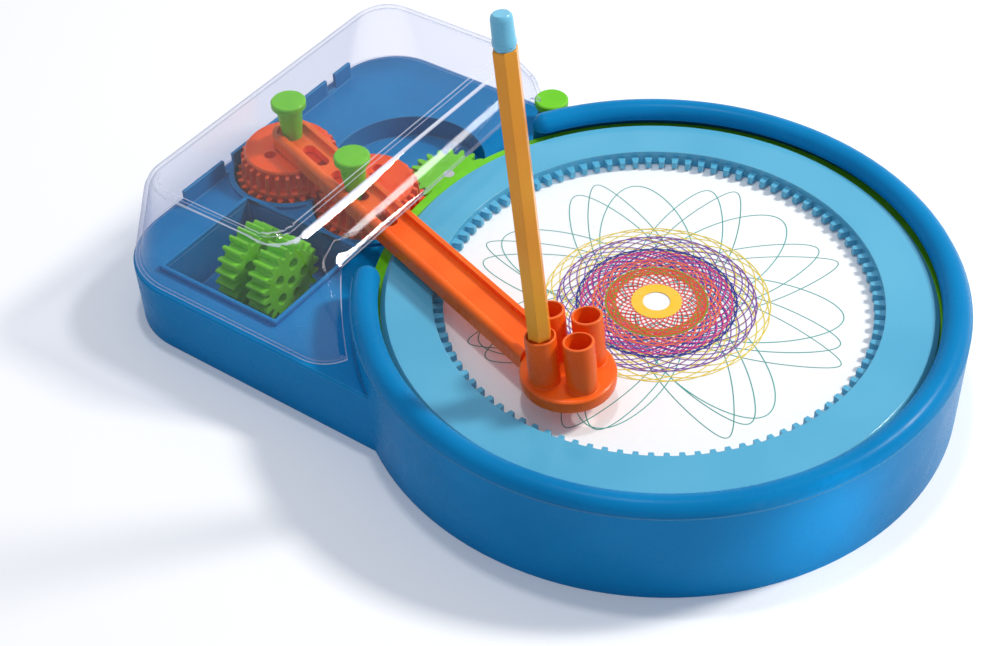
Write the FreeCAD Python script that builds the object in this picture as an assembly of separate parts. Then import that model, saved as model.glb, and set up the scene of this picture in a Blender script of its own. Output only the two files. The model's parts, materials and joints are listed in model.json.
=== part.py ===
import FreeCAD, Part
import math
import os

V = FreeCAD.Vector
Rotation = FreeCAD.Rotation
Placement = FreeCAD.Placement
UP = V(0, 0, 1)

# Spiral drawing machine. Millimetres, +Z up. The origin is on the turntable's axis, on the
# plane the base stands on, and -X points from the turntable to the gear housing.

# Gear train
gear_module = 1.35
pressure_angle = 20.0
turntable_teeth = 134
drive_teeth = 20
disc_teeth = 28
tooth_thinning = 0.15
gear_z = 17.2
gear_width = 8.2
drive_azimuth = 168.5
front_disc_azimuth = -114.6
rear_disc_azimuth = 180.0

# Drum
drum_radius = 102.5
drum_wall = 4.0
rim_height = 40.0
bead_half_width = 4.5
bead_rise = 4.0
bead_lip = 1.4
bead_inset = 0.4
bead_from = -149.0
bead_to = 146.5

# Gear housing
housing_left = 177.0
housing_near = 86.6
housing_far = 76.0
near_corner = 30.0
far_corner = 24.0
shell_wall = 2.4
deck_height = 24.5
deck_thickness = 2.2
deck_edge_chamfer = 0.8

# Wells under the gears
well_floor_z = 15.6
well_wall = 2.0
disc_well_gap = 0.95
round_well_radius = 29.0
round_well_x = -119.3
round_well_y = 18.5
well_lip_rise = 1.6

# Storage recess for the spare gears
recess_x = -154.6
recess_y = -75.7
recess_length = 50.6
recess_depth_y = 44.1
recess_floor_z = 6.0
spare_gap = 5.8
spare_rib = 1.4
spare_rib_rise = 4.0
spare_side_gap = 0.3

# Upstand along the left edge of the deck
upstand_setback = 4.4
upstand_thickness = 1.2
upstand_top_z = 31.5
upstand_gear_gap = 0.8
upstand_near = -46.0
upstand_far = 50.0
upstand_notch = 5.0
notch_places = (-22.0, 38.0)

# Bottom cover
cover_thickness = 2.2
cover_gap = 0.2
axle_boss_radius = 9.0
axle_boss_top_z = 11.6
cover_rib = 1.8
cover_rib_top_z = 7.0
cover_ribs = 6
post_radius = 4.0
screw_radius = 1.3
screw_head_radius = 2.9
screw_head_height = 1.2
screw_length = 11.0
screw_head_gap = 0.3

# Turntable
flange_radius = 97.0
flange_bottom_z = 27.5
flange_top_z = 30.5
plate_bottom_z = 25.6
plate_top_z = 28.0
ring_seat_radius = 93.0
skirt_thickness = 5.0
hub_radius = 8.5
hub_bottom_z = 12.0
turntable_ribs = 8
turntable_rib = 1.6
turntable_rib_depth = 4.6
axle_radius = 3.0
axle_foot_z = 3.0
axle_top_z = 24.0
bush_wall = 1.95
running_clearance = 0.06

# Paper and the ring frame that holds it down
paper_radius = 92.0
paper_thickness = 0.3
ring_outer = 92.6
ring_inner = 75.0
ring_height = 5.4
ring_chamfer = 1.8
ring_teeth = 96
ring_tooth_depth = 3.4
ring_tooth_bottom = 0.6
ring_tooth_height = 2.6

# Disc gears
disc_skirt_radius = 17.5
disc_skirt_z = 26.0
disc_cone_z = 31.4
disc_top_radius = 15.4
disc_top_z = 36.0
disc_edge = 1.2
disc_bore_depth_z = 30.0
disc_axle_radius = 1.5
disc_groove_depth = 1.3
pin_hole_pitch = 5.3
pin_hole_floor_z = 31.4
front_hole_row = 103.8
rear_hole_row = -105.0

# Drive gear shaft, gearbox and motor
shaft_radius = 2.0
gearbox_x = -113.0
gearbox_width = 22.0
gearbox_y = 8.0
gearbox_length = 44.0
gearbox_top_z = 13.2
motor_length = 25.0
motor_width = 18.0
motor_height = 15.0
motor_shift = 4.0

# Batteries
battery_radius = 5.25
battery_length = 44.5
battery_x = -168.0
battery_y = 40.3
battery_spacing = 10.9
battery_bay_wall = 1.5
battery_bay_top_z = 11.0
door_thickness = 1.8
door_gap = 0.25
contact_thickness = 0.4

# Arm
arm_bottom_z = 36.3
arm_width = 14.7
web_thickness = 3.2
arm_height = 6.3
low_rib_height = 5.3
tall_rib_width = 3.6
low_rib_width = 1.8
slot_width = 4.8
arm_slots = ((8.5, 22.5), (27.5, 48.2), (54.0, 66.0))
holder_x = 2.0
holder_y = -56.0
holder_radius = 17.0
holder_thickness = 5.0
tongue_width = 8.0
tongue_length = 3.8
tongue_thickness = 2.0
assembly_gap = 0.1

# Pins in the arm
pin_spigot_radius = 2.1
pin_foot_radius = 3.5
pin_neck_radius = 5.0
pin_head_radius = 6.4
pin_head_thickness = 2.4
pin_top_z = 55.4
crank_distance = 10.6

# Pen sleeves and pen
sleeve_radius = 5.3
sleeve_bore = 4.45
sleeve_offset = 8.2
sleeve_top_z = 61.0
sleeve_rake = 7.5
pen_corner_radius = 4.15
pen_length = 163.0
pen_plug_length = 11.0
pen_nose_length = 14.0
pen_tip_length = 3.0
pen_tip_radius = 0.55
pen_nose_small = 1.2
pen_paper_gap = 0.3

# Start button
button_x = -88.0
button_y = 68.0
button_head_radius = 6.4
button_head_thickness = 2.6
button_top_z = 36.0
button_stem_radius = 3.0
button_stem_bottom_z = 19.3
button_collar_radius = 5.4
button_collar_height = 4.6
button_fit = 0.3
switch_top_z = 14.2
switch_size = 6.0

# Lid
lid_height_z = 58.0
lid_wall = 1.6
lid_seat_gap = 0.1
lid_left = 176.8
lid_near = 84.6
lid_far = 75.0
lid_right_foot = -70.8
lid_top_left = -166.0
lid_top_right = -101.0
lid_top_near = -74.0
lid_top_far = 65.0
lid_near_corner = 28.0
lid_far_corner = 23.0
lid_top_corner = 14.0
lid_edge_radius = 5.0
lid_window_z = 43.4
lid_drum_gap = 2.5
lid_button_gap = 2.6


def cylinder(radius, z_low, z_high, x=0.0, y=0.0):
    return Part.makeCylinder(radius, z_high - z_low, V(x, y, z_low))


def block(x_low, x_high, y_low, y_high, z_low, z_high):
    return Part.makeBox(x_high - x_low, y_high - y_low, z_high - z_low, V(x_low, y_low, z_low))


def polar(radius, degrees, z=0.0):
    angle = math.radians(degrees)
    return V(radius * math.cos(angle), radius * math.sin(angle), z)


def prism(face, z_low, z_high):
    lifted = face.copy()
    lifted.translate(V(0, 0, z_low))
    return lifted.extrude(V(0, 0, z_high - z_low))


def polygon_face(points):
    return Part.Face(Part.makePolygon(list(points) + [points[0]]))


def turned(profile_points, angle=360.0):
    """A solid turned about Z from points given as (radius, z)."""
    face = polygon_face([V(r, 0, z) for r, z in profile_points])
    return face.revolve(V(0, 0, 0), UP, angle)


def join(shapes):
    first = shapes[0]
    rest = shapes[1:]
    if rest:
        first = first.fuse(rest)
    return first.removeSplitter()


def pitch_radius(teeth):
    return gear_module * teeth / 2.0


def tip_radius(teeth):
    return pitch_radius(teeth) + gear_module


def root_radius(teeth):
    return pitch_radius(teeth) - 1.25 * gear_module


def meshing_phase(phase, teeth, other_teeth, direction):
    """Where a tooth of the other gear stands so that it meets a gap of the first gear."""
    step = 360.0 / teeth
    share = ((direction - phase) / step) % 1.0
    other_step = 360.0 / other_teeth
    other_share = (0.5 - share) % 1.0
    return direction + 180.0 - other_share * other_step


def tooth_half_angle(teeth, radius):
    """Half of a tooth's angle, in degrees, at a radius on its involute flank."""
    base = pitch_radius(teeth) * math.cos(math.radians(pressure_angle))
    half_at_pitch = math.pi / (2 * teeth) - tooth_thinning / (2 * pitch_radius(teeth))
    pressure = math.radians(pressure_angle)
    local = math.acos(min(1.0, base / radius))
    involute_pitch = math.tan(pressure) - pressure
    involute_local = math.tan(local) - local
    return math.degrees(half_at_pitch + involute_pitch - involute_local)


def gear_face(teeth, phase):
    """Flat outline of a spur gear, with one tooth centred on the phase angle."""
    base = pitch_radius(teeth) * math.cos(math.radians(pressure_angle))
    root = root_radius(teeth)
    tip = tip_radius(teeth)
    start = max(base, root)
    middle = (start + tip) / 2.0
    step = 360.0 / teeth
    edges = []
    half_start = tooth_half_angle(teeth, start)
    half_middle = tooth_half_angle(teeth, middle)
    half_tip = tooth_half_angle(teeth, tip)
    for index in range(teeth):
        centre = phase + index * step
        rise = [polar(start, centre - half_start), polar(middle, centre - half_middle),
                polar(tip, centre - half_tip)]
        fall = [polar(tip, centre + half_tip), polar(middle, centre + half_middle),
                polar(start, centre + half_start)]
        next_start = centre + step - half_start
        if root < start:
            foot = polar(root, centre - half_start)
            edges.append(Part.LineSegment(foot, rise[0]).toShape())
        edges.append(Part.Arc(*rise).toShape())
        edges.append(Part.LineSegment(rise[2], fall[0]).toShape())
        edges.append(Part.Arc(*fall).toShape())
        if root < start:
            edges.append(Part.LineSegment(fall[2], polar(root, centre + half_start)).toShape())
        edges.append(Part.LineSegment(polar(root, centre + half_start), polar(root, next_start)).toShape())
    return Part.Face(Part.Wire(edges))


drive_distance = pitch_radius(turntable_teeth) + pitch_radius(drive_teeth)
drive_centre = polar(drive_distance, drive_azimuth)
front_disc_centre = drive_centre + polar(pitch_radius(drive_teeth) + pitch_radius(disc_teeth),
                                         front_disc_azimuth)
rear_disc_centre = front_disc_centre + polar(2 * pitch_radius(disc_teeth), rear_disc_azimuth)
turntable_phase = drive_azimuth
drive_phase = meshing_phase(turntable_phase, turntable_teeth, drive_teeth, drive_azimuth)
front_disc_phase = meshing_phase(drive_phase, drive_teeth, disc_teeth, front_disc_azimuth)
rear_disc_phase = meshing_phase(front_disc_phase, disc_teeth, disc_teeth, rear_disc_azimuth)
gear_top_z = gear_z + gear_width
bead_centre = drum_radius - bead_inset - bead_half_width
pocket_radius = drum_radius - drum_wall
disc_well_radius = tip_radius(disc_teeth) + disc_well_gap
drive_well_radius = tip_radius(drive_teeth) + disc_well_gap
rear_pin_place = rear_disc_centre + polar(-pin_hole_pitch / 2.0, rear_hole_row)
holder_place = V(holder_x, holder_y, 0)
arm_vector = holder_place - rear_pin_place
arm_length = arm_vector.Length
arm_azimuth = math.degrees(math.atan2(arm_vector.y, arm_vector.x))
front_pin_place = front_disc_centre + polar(-crank_distance, front_hole_row)
ring_bottom_z = plate_top_z + paper_thickness
ring_top_z = ring_bottom_z + ring_height
rake_tangent = math.tan(math.radians(sleeve_rake))


def housing_face(inset):
    """Plan of the gear housing, which runs on into the drum on its right."""
    left = -housing_left + inset
    near = -housing_near + inset
    far = housing_far - inset
    near_r = near_corner - inset
    far_r = far_corner - inset
    right = -drum_radius / 2.0
    diagonal = math.sqrt(0.5)
    near_mid = V(left + near_r * (1 - diagonal), near + near_r * (1 - diagonal), 0)
    far_mid = V(left + far_r * (1 - diagonal), far - far_r * (1 - diagonal), 0)
    edges = [
        Part.LineSegment(V(right, near, 0), V(left + near_r, near, 0)).toShape(),
        Part.Arc(V(left + near_r, near, 0), near_mid, V(left, near + near_r, 0)).toShape(),
        Part.LineSegment(V(left, near + near_r, 0), V(left, far - far_r, 0)).toShape(),
        Part.Arc(V(left, far - far_r, 0), far_mid, V(left + far_r, far, 0)).toShape(),
        Part.LineSegment(V(left + far_r, far, 0), V(right, far, 0)).toShape(),
        Part.LineSegment(V(right, far, 0), V(right, near, 0)).toShape(),
    ]
    return Part.Face(Part.Wire(edges))


def bead_sector():
    """Drum wall and rounded rim bead, with a rounded end on each side of the arm's gap."""
    base_z = rim_height - bead_rise
    lip_z = base_z - bead_lip
    inner = bead_centre - bead_half_width
    outer = bead_centre + bead_half_width
    edges = [
        Part.LineSegment(V(pocket_radius, 0, 0), V(drum_radius, 0, 0)).toShape(),
        Part.LineSegment(V(drum_radius, 0, 0), V(drum_radius, 0, base_z)).toShape(),
        Part.LineSegment(V(drum_radius, 0, base_z), V(outer, 0, base_z)).toShape(),
        Part.Arc(V(outer, 0, base_z), V(bead_centre, 0, rim_height), V(inner, 0, base_z)).toShape(),
        Part.LineSegment(V(inner, 0, base_z), V(inner, 0, lip_z)).toShape(),
        Part.LineSegment(V(inner, 0, lip_z), V(pocket_radius, 0, lip_z)).toShape(),
        Part.LineSegment(V(pocket_radius, 0, lip_z), V(pocket_radius, 0, 0)).toShape(),
    ]
    face = Part.Face(Part.Wire(edges))
    face.rotate(V(0, 0, 0), UP, bead_from)
    sector = face.revolve(V(0, 0, 0), UP, bead_to - bead_from)
    ends = [bead_end(bead_from, -180.0), bead_end(bead_to, 180.0)]
    return sector.fuse(ends)


def bead_end(degrees, turn):
    """Rounded end of the bead, half a turn of its outer profile, standing on the deck."""
    base_z = rim_height - bead_rise
    low_z = deck_height - deck_thickness
    arc_radius = (bead_half_width ** 2 + bead_rise ** 2) / (2 * bead_rise)
    arc_z = rim_height - arc_radius
    foot_angle = math.atan2(base_z - arc_z, bead_half_width)
    middle = (foot_angle + math.pi / 2.0) / 2.0
    edges = [
        Part.LineSegment(V(0, 0, low_z), V(bead_half_width, 0, low_z)).toShape(),
        Part.LineSegment(V(bead_half_width, 0, low_z), V(bead_half_width, 0, base_z)).toShape(),
        Part.Arc(V(bead_half_width, 0, base_z),
                 V(arc_radius * math.cos(middle), 0, arc_z + arc_radius * math.sin(middle)),
                 V(0, 0, rim_height)).toShape(),
        Part.LineSegment(V(0, 0, rim_height), V(0, 0, low_z)).toShape(),
    ]
    thumb = Part.Face(Part.Wire(edges)).revolve(V(0, 0, 0), UP, turn)
    thumb.rotate(V(0, 0, 0), UP, degrees)
    thumb.translate(polar(bead_centre, degrees))
    return thumb


def well_cylinders(extra, z_low, z_high):
    wells = [
        cylinder(round_well_radius + extra, z_low, z_high, round_well_x, round_well_y),
        cylinder(disc_well_radius + extra, z_low, z_high, front_disc_centre.x, front_disc_centre.y),
        cylinder(disc_well_radius + extra, z_low, z_high, rear_disc_centre.x, rear_disc_centre.y),
        cylinder(drive_well_radius + extra, z_low, z_high, drive_centre.x, drive_centre.y),
    ]
    return join(wells)


def recess_block(extra, z_low, z_high):
    return block(recess_x - extra, recess_x + recess_length + extra,
                 recess_y - extra, recess_y + recess_depth_y + extra, z_low, z_high)


def screw_places():
    wall_r = pocket_radius - post_radius + 0.5
    drum = [polar(wall_r, degrees) for degrees in (-75.0, 0.0, 75.0)]
    housing = [V(-166.0, -45.0, 0), V(-160.0, 63.5, 0), V(-95.0, -73.0, 0)]
    return drum, housing


def base_shell():
    outer = prism(housing_face(0.0), 0.0, deck_height)
    top_edges = [edge for edge in outer.Edges
                 if all(abs(vertex.Z - deck_height) < 0.01 for vertex in edge.Vertexes)
                 and edge.CenterOfMass.x < -drum_radius / 2.0 - 1.0]
    outer = outer.makeChamfer(deck_edge_chamfer, top_edges)
    hollow = prism(housing_face(shell_wall), -1.0, deck_height - deck_thickness)
    cups = [well_cylinders(well_wall, well_floor_z - well_wall, deck_height),
            recess_block(well_wall, recess_floor_z - well_wall, deck_height),
            cylinder(drum_radius, -2.0, deck_height)]
    shell = outer.cut(hollow.cut(cups))
    shell = shell.fuse([bead_sector(), well_lip()])
    drum_posts, housing_posts = screw_places()
    posts = [cylinder(post_radius, cover_thickness, well_floor_z - well_wall, p.x, p.y) for p in drum_posts]
    posts += [cylinder(post_radius, cover_thickness, deck_height - 1.0, p.x, p.y) for p in housing_posts]
    posts += [cylinder(post_radius, 8.0, well_floor_z, c.x, c.y) for c in (front_disc_centre, rear_disc_centre)]
    shell = shell.fuse(posts)
    lip_z = rim_height - bead_rise - bead_lip
    drum_pocket = cylinder(pocket_radius, -1.0, lip_z)
    trimmed_posts = [post.common(cylinder(drum_radius - 1.0, 0, lip_z)) for post in posts[:3]]
    cuts = [drum_pocket, well_cylinders(0.0, well_floor_z, deck_height + 10.0),
            recess_block(0.0, recess_floor_z, deck_height + 10.0)]
    shell = shell.cut(cuts)
    shell = shell.fuse(trimmed_posts + recess_ribs() + [upstand(), button_collar()])
    openings = [prism(housing_face(shell_wall), -1.0, cover_thickness),
                block(gearbox_x - 2.0, gearbox_x + gearbox_width + 4.0, gearbox_y - 2.0,
                      gearbox_y + gearbox_length + 2.0, -1.0, well_floor_z - well_wall),
                cylinder(button_stem_radius + button_fit, 0.0, rim_height, button_x, button_y),
                cylinder(shaft_radius + 0.8, 0.0, rim_height, drive_centre.x, drive_centre.y)]
    openings += [cylinder(screw_radius, 0.0, 12.5, p.x, p.y) for p in drum_posts + housing_posts]
    openings += [cylinder(disc_axle_radius, 9.0, 20.0, c.x, c.y) for c in (front_disc_centre, rear_disc_centre)]
    return shell.cut(openings).removeSplitter()


def well_lip():
    """Low raised lip round the near side of the two disc gears' wells."""
    ring = join([cylinder(disc_well_radius + well_wall, deck_height - 1.0, deck_height + well_lip_rise, c.x, c.y)
                 for c in (front_disc_centre, rear_disc_centre)])
    near_side = block(-housing_left + upstand_setback, 0.0, -housing_near, front_disc_centre.y, 0.0, rim_height)
    return ring.common(near_side)


def recess_ribs():
    """Low ribs on the recess floor that keep the spare gears upright."""
    ribs = []
    for centre in spare_centres():
        half = gear_width / 2.0 + spare_side_gap
        for side in (-1, 1):
            x = centre.x + side * (half + spare_rib / 2.0)
            ribs.append(block(x - spare_rib / 2.0, x + spare_rib / 2.0, recess_y - 0.5,
                              recess_y + recess_depth_y + 0.5, recess_floor_z - 0.5,
                              recess_floor_z + spare_rib_rise))
    return ribs


def upstand():
    left = -housing_left + upstand_setback
    strip = block(left, left + upstand_thickness, upstand_near, upstand_far, deck_height - 0.5, upstand_top_z)
    cuts = [block(left - 1.0, left + upstand_thickness + 1.0, y - upstand_notch / 2.0, y + upstand_notch / 2.0,
                  deck_height + 1.0, upstand_top_z + 1.0) for y in notch_places]
    cuts.append(cylinder(disc_well_radius, 0.0, gear_top_z + upstand_gear_gap, rear_disc_centre.x, rear_disc_centre.y))
    return strip.cut(cuts)


def button_collar():
    return cylinder(button_collar_radius, deck_height - 1.0, deck_height + button_collar_height,
                    button_x, button_y)


def battery_bay(extra, z_low, z_high):
    x_low = battery_x - contact_thickness - 1.0
    x_high = battery_x + battery_length + contact_thickness + 1.0
    y_low = battery_y - battery_radius - 0.5
    y_high = battery_y + battery_spacing + battery_radius + 0.5
    return block(x_low - extra, x_high + extra, y_low - extra, y_high + extra, z_low, z_high)


def bottom_cover():
    plate = join([cylinder(pocket_radius - cover_gap, 0.0, cover_thickness),
                  prism(housing_face(shell_wall + cover_gap), 0.0, cover_thickness)])
    boss = cylinder(axle_boss_radius, 1.0, axle_boss_top_z)
    ribs = []
    for index in range(cover_ribs):
        rib = block(axle_boss_radius - 1.0, pocket_radius - 12.0, -cover_rib / 2.0, cover_rib / 2.0,
                    1.0, cover_rib_top_z)
        rib.rotate(V(0, 0, 0), UP, 360.0 * (index + 0.5) / cover_ribs)
        ribs.append(rib)
    bay = battery_bay(battery_bay_wall, 1.0, battery_bay_top_z)
    switch_post = cylinder(switch_size / 2.0, 1.0, switch_top_z - 5.0, button_x, button_y)
    cover = join([plate, boss, bay, switch_post] + ribs)
    drum_posts, housing_posts = screw_places()
    cuts = [battery_bay(0.0, -1.0, battery_bay_top_z + 1.0), cylinder(axle_radius, axle_foot_z, rim_height)]
    for place in drum_posts + housing_posts:
        cuts.append(cylinder(screw_radius + assembly_gap, -1.0, 5.0, place.x, place.y))
        cuts.append(cylinder(screw_head_radius + screw_head_gap, -1.0, screw_head_height + 0.2, place.x, place.y))
    return cover.cut(cuts)


def battery_door():
    inset = battery_bay(-door_gap, 0.0, door_thickness)
    rib = battery_bay(-3.0, door_thickness - 0.5, door_thickness + 0.3)
    return join([inset, rib])


def cover_screws():
    drum_posts, housing_posts = screw_places()
    screws = []
    for place in drum_posts + housing_posts:
        head = cylinder(screw_head_radius, 0.2, screw_head_height + 0.2, place.x, place.y)
        shank = cylinder(screw_radius, screw_head_height, screw_length, place.x, place.y)
        screws.append(join([head, shank]))
    return Part.makeCompound(screws)


def batteries():
    cells = []
    z = door_thickness + 0.8 + battery_radius
    for index in range(2):
        y = battery_y + index * battery_spacing
        body = Part.makeCylinder(battery_radius, battery_length - 1.0, V(battery_x, y, z), V(1, 0, 0))
        cap = Part.makeCylinder(1.9, 1.0, V(battery_x + battery_length - 1.0, y, z), V(1, 0, 0))
        cell = join([body, cap])
        if index:
            cell.rotate(V(battery_x + battery_length / 2.0, y, z), UP, 180)
        cells.append(cell)
    return Part.makeCompound(cells)


def battery_contacts():
    z_low = door_thickness + 1.2
    z_high = battery_bay_top_z - 0.5
    y_low = battery_y - battery_radius
    y_high = battery_y + battery_spacing + battery_radius
    left = block(battery_x - contact_thickness, battery_x, y_low, y_high, z_low, z_high)
    x = battery_x + battery_length
    right = block(x, x + contact_thickness, y_low, y_high, z_low, z_high)
    return Part.makeCompound([left, right])


def gearbox():
    body = block(gearbox_x, gearbox_x + gearbox_width, gearbox_y, gearbox_y + gearbox_length,
                 cover_thickness, gearbox_top_z)
    return body.cut(cylinder(shaft_radius + running_clearance, 8.0, 20.0, drive_centre.x, drive_centre.y))


def motor_can():
    x_low = gearbox_x - motor_shift
    y_low = gearbox_y + gearbox_length
    can = block(x_low, x_low + motor_length, y_low, y_low + motor_width, cover_thickness,
                cover_thickness + motor_height)
    long_edges = [edge for edge in can.Edges if abs(edge.Length - motor_length) < 0.01]
    return can.makeFillet(4.0, long_edges)


def turntable_axle():
    return cylinder(axle_radius, axle_foot_z, axle_top_z)


def gear_axles():
    pins = [cylinder(disc_axle_radius, 9.0, disc_bore_depth_z - 0.4, c.x, c.y)
            for c in (front_disc_centre, rear_disc_centre)]
    return Part.makeCompound(pins)


def start_switch():
    half = switch_size / 2.0
    body = block(button_x - half, button_x + half, button_y - half, button_y + half,
                 switch_top_z - 5.0, switch_top_z)
    return join([body, cylinder(1.6, switch_top_z - 1.0, switch_top_z + 2.0, button_x, button_y)])


def turntable():
    top = turned([(0, plate_bottom_z), (tip_radius(turntable_teeth), plate_bottom_z),
                  (tip_radius(turntable_teeth), flange_bottom_z), (flange_radius, flange_bottom_z),
                  (flange_radius, flange_top_z), (ring_seat_radius, flange_top_z),
                  (ring_seat_radius, plate_top_z), (0, plate_top_z)])
    inner = root_radius(turntable_teeth) - skirt_thickness
    teeth = prism(gear_face(turntable_teeth, turntable_phase), gear_z, plate_bottom_z)
    teeth = teeth.cut(cylinder(inner, gear_z - 1.0, plate_bottom_z + 1.0))
    hub = cylinder(hub_radius, hub_bottom_z, plate_bottom_z)
    ribs = []
    for index in range(turntable_ribs):
        rib = block(hub_radius - 1.0, inner + 1.0, -turntable_rib / 2.0, turntable_rib / 2.0,
                    plate_bottom_z - turntable_rib_depth, plate_bottom_z)
        rib.rotate(V(0, 0, 0), UP, 360.0 * index / turntable_ribs)
        ribs.append(rib)
    body = top.fuse([teeth, hub] + ribs)
    bore = cylinder(axle_radius + running_clearance + bush_wall, hub_bottom_z - 1.0, axle_top_z + 0.3)
    return body.cut(bore).removeSplitter()


def hub_bush():
    outer = cylinder(axle_radius + running_clearance + bush_wall, hub_bottom_z, axle_top_z + 0.3)
    return outer.cut(cylinder(axle_radius + running_clearance, hub_bottom_z - 1.0, axle_top_z + 1.0))


def paper_sheet():
    return cylinder(paper_radius, plate_top_z, ring_bottom_z)


def ring_frame():
    body = turned([(ring_inner, ring_bottom_z), (ring_outer, ring_bottom_z),
                   (ring_outer, ring_top_z - ring_chamfer), (ring_outer - ring_chamfer, ring_top_z),
                   (ring_inner, ring_top_z)])
    low = ring_bottom_z + ring_tooth_bottom
    step = math.radians(360.0 / ring_teeth)
    outer_half = 0.3 * step * ring_inner
    inner_half = 0.17 * step * ring_inner
    tooth = polygon_face([V(ring_inner + 0.3, -outer_half, low), V(ring_inner + 0.3, outer_half, low),
                          V(ring_inner - ring_tooth_depth, inner_half, low),
                          V(ring_inner - ring_tooth_depth, -inner_half, low)])
    tooth = tooth.extrude(V(0, 0, ring_tooth_height))
    teeth = []
    for index in range(ring_teeth):
        copy = tooth.copy()
        copy.rotate(V(0, 0, 0), UP, 360.0 * index / ring_teeth)
        teeth.append(copy)
    return body.fuse(teeth).removeSplitter()


def spur_gear(teeth, phase, centre):
    gear = prism(gear_face(teeth, phase), gear_z, gear_top_z)
    gear.translate(V(centre.x, centre.y, 0))
    return gear


def drive_gear():
    gear = spur_gear(drive_teeth, drive_phase, drive_centre)
    return gear.cut(cylinder(shaft_radius, 0, rim_height, drive_centre.x, drive_centre.y))


def drive_shaft():
    return cylinder(shaft_radius, 8.4, gear_top_z, drive_centre.x, drive_centre.y)


def disc_gear(phase, centre, hole_row):
    """Spur gear with a grooved skirt and a smooth raised disc that has a row of pin holes."""
    teeth = prism(gear_face(disc_teeth, phase), gear_z, gear_top_z)
    upper = turned([(0, gear_top_z), (disc_skirt_radius, gear_top_z), (disc_skirt_radius, disc_cone_z),
                    (disc_top_radius + disc_edge, disc_top_z - disc_edge), (disc_top_radius, disc_top_z),
                    (0, disc_top_z)])
    groove = polygon_face([V(disc_skirt_radius + 0.4, -0.9, disc_skirt_z), V(disc_skirt_radius + 0.4, 0.9, disc_skirt_z),
                           V(disc_skirt_radius - disc_groove_depth, 0, disc_skirt_z)])
    groove = groove.extrude(V(0, 0, disc_cone_z - disc_skirt_z + 1.0))
    grooves = []
    for index in range(disc_teeth):
        copy = groove.copy()
        copy.rotate(V(0, 0, 0), UP, 360.0 * index / disc_teeth)
        grooves.append(copy)
    body = teeth.fuse(upper.cut(grooves))
    cuts = [cylinder(disc_axle_radius + running_clearance, gear_z - 1.0, disc_bore_depth_z)]
    for station in (-2.0, -0.5, 0.5, 1.5):
        place = polar(station * pin_hole_pitch, hole_row)
        cuts.append(cylinder(pin_spigot_radius + running_clearance, pin_hole_floor_z, disc_top_z + 1.0,
                             place.x, place.y))
    body = body.cut(cuts)
    body.translate(V(centre.x, centre.y, 0))
    return body


def spare_centres():
    z = recess_floor_z + tip_radius(drive_teeth) + 0.05
    middle_y = recess_y + recess_depth_y / 2.0
    first_x = recess_x + 20.6
    return [V(first_x, middle_y, z), V(first_x + gear_width + spare_gap, middle_y, z)]


def spare_gear(centre):
    """Spare gear that stands on its teeth, axis along X, with windows in its web."""
    gear = prism(gear_face(drive_teeth, -90.0), -gear_width / 2.0, gear_width / 2.0)
    cuts = [cylinder(shaft_radius + running_clearance, -10.0, 10.0)]
    for index in range(5):
        place = polar(6.9, 72.0 * index)
        cuts.append(cylinder(2.2, -10.0, 10.0, place.x, place.y))
    gear = gear.cut(cuts)
    gear.Placement = Placement(centre, Rotation(V(0, 1, 0), V(0, 0, 1), V(1, 0, 0), "ZXY"))
    return gear


def in_arm_frame(shape):
    shape.rotate(V(0, 0, 0), UP, arm_azimuth)
    shape.translate(V(rear_pin_place.x, rear_pin_place.y, 0))
    return shape


def bar(length, v_low, v_high, z_low, z_high):
    return block(0.0, length, v_low, v_high, z_low, z_high)


def drawing_arm():
    half = arm_width / 2.0
    web_top = arm_bottom_z + web_thickness
    end = arm_length - holder_radius
    web = join([bar(arm_length, -half, half, arm_bottom_z, web_top), cylinder(half, arm_bottom_z, web_top)])
    tall = tall_rib(half)
    low = bar(arm_length, half - low_rib_width, half, arm_bottom_z, arm_bottom_z + low_rib_height)
    collar = cylinder(half, arm_bottom_z, arm_bottom_z + low_rib_height)
    collar = collar.cut(cylinder(half - low_rib_width, 0.0, 100.0))
    collar = collar.common(block(-half, 0.0, -half, half, 0.0, 100.0))
    body = join([web, tall, low, collar])
    body = body.cut([slot(a, b) for a, b in arm_slots])
    body = body.cut(cylinder(holder_radius + assembly_gap, 0.0, 100.0, arm_length, 0.0))
    body = body.cut(block(arm_length, arm_length + 50.0, -half, half, 0.0, 100.0))
    tongue_z = arm_bottom_z + (web_thickness - tongue_thickness) / 2.0
    tongue = block(end - 3.0, end + tongue_length, -tongue_width / 2.0, tongue_width / 2.0,
                   tongue_z, tongue_z + tongue_thickness)
    body = join([body, tongue])
    body = body.cut(cylinder(pin_spigot_radius, 0.0, 100.0))
    return in_arm_frame(body)


def tall_rib(half):
    """Rib with a rounded top along the arm's near edge."""
    top = arm_bottom_z + arm_height
    width = tall_rib_width
    shoulder = top - width / 2.0
    edges = [
        Part.LineSegment(V(0, -half, arm_bottom_z), V(0, -half + width, arm_bottom_z)).toShape(),
        Part.LineSegment(V(0, -half + width, arm_bottom_z), V(0, -half + width, shoulder)).toShape(),
        Part.Arc(V(0, -half + width, shoulder), V(0, -half + width / 2.0, top), V(0, -half, shoulder)).toShape(),
        Part.LineSegment(V(0, -half, shoulder), V(0, -half, arm_bottom_z)).toShape(),
    ]
    return Part.Face(Part.Wire(edges)).extrude(V(arm_length, 0, 0))


def slot(start, end):
    half = slot_width / 2.0
    middle = block(start + half, end - half, -half, half, 0.0, 100.0)
    return join([middle, cylinder(half, 0.0, 100.0, start + half, 0.0), cylinder(half, 0.0, 100.0, end - half, 0.0)])


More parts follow.
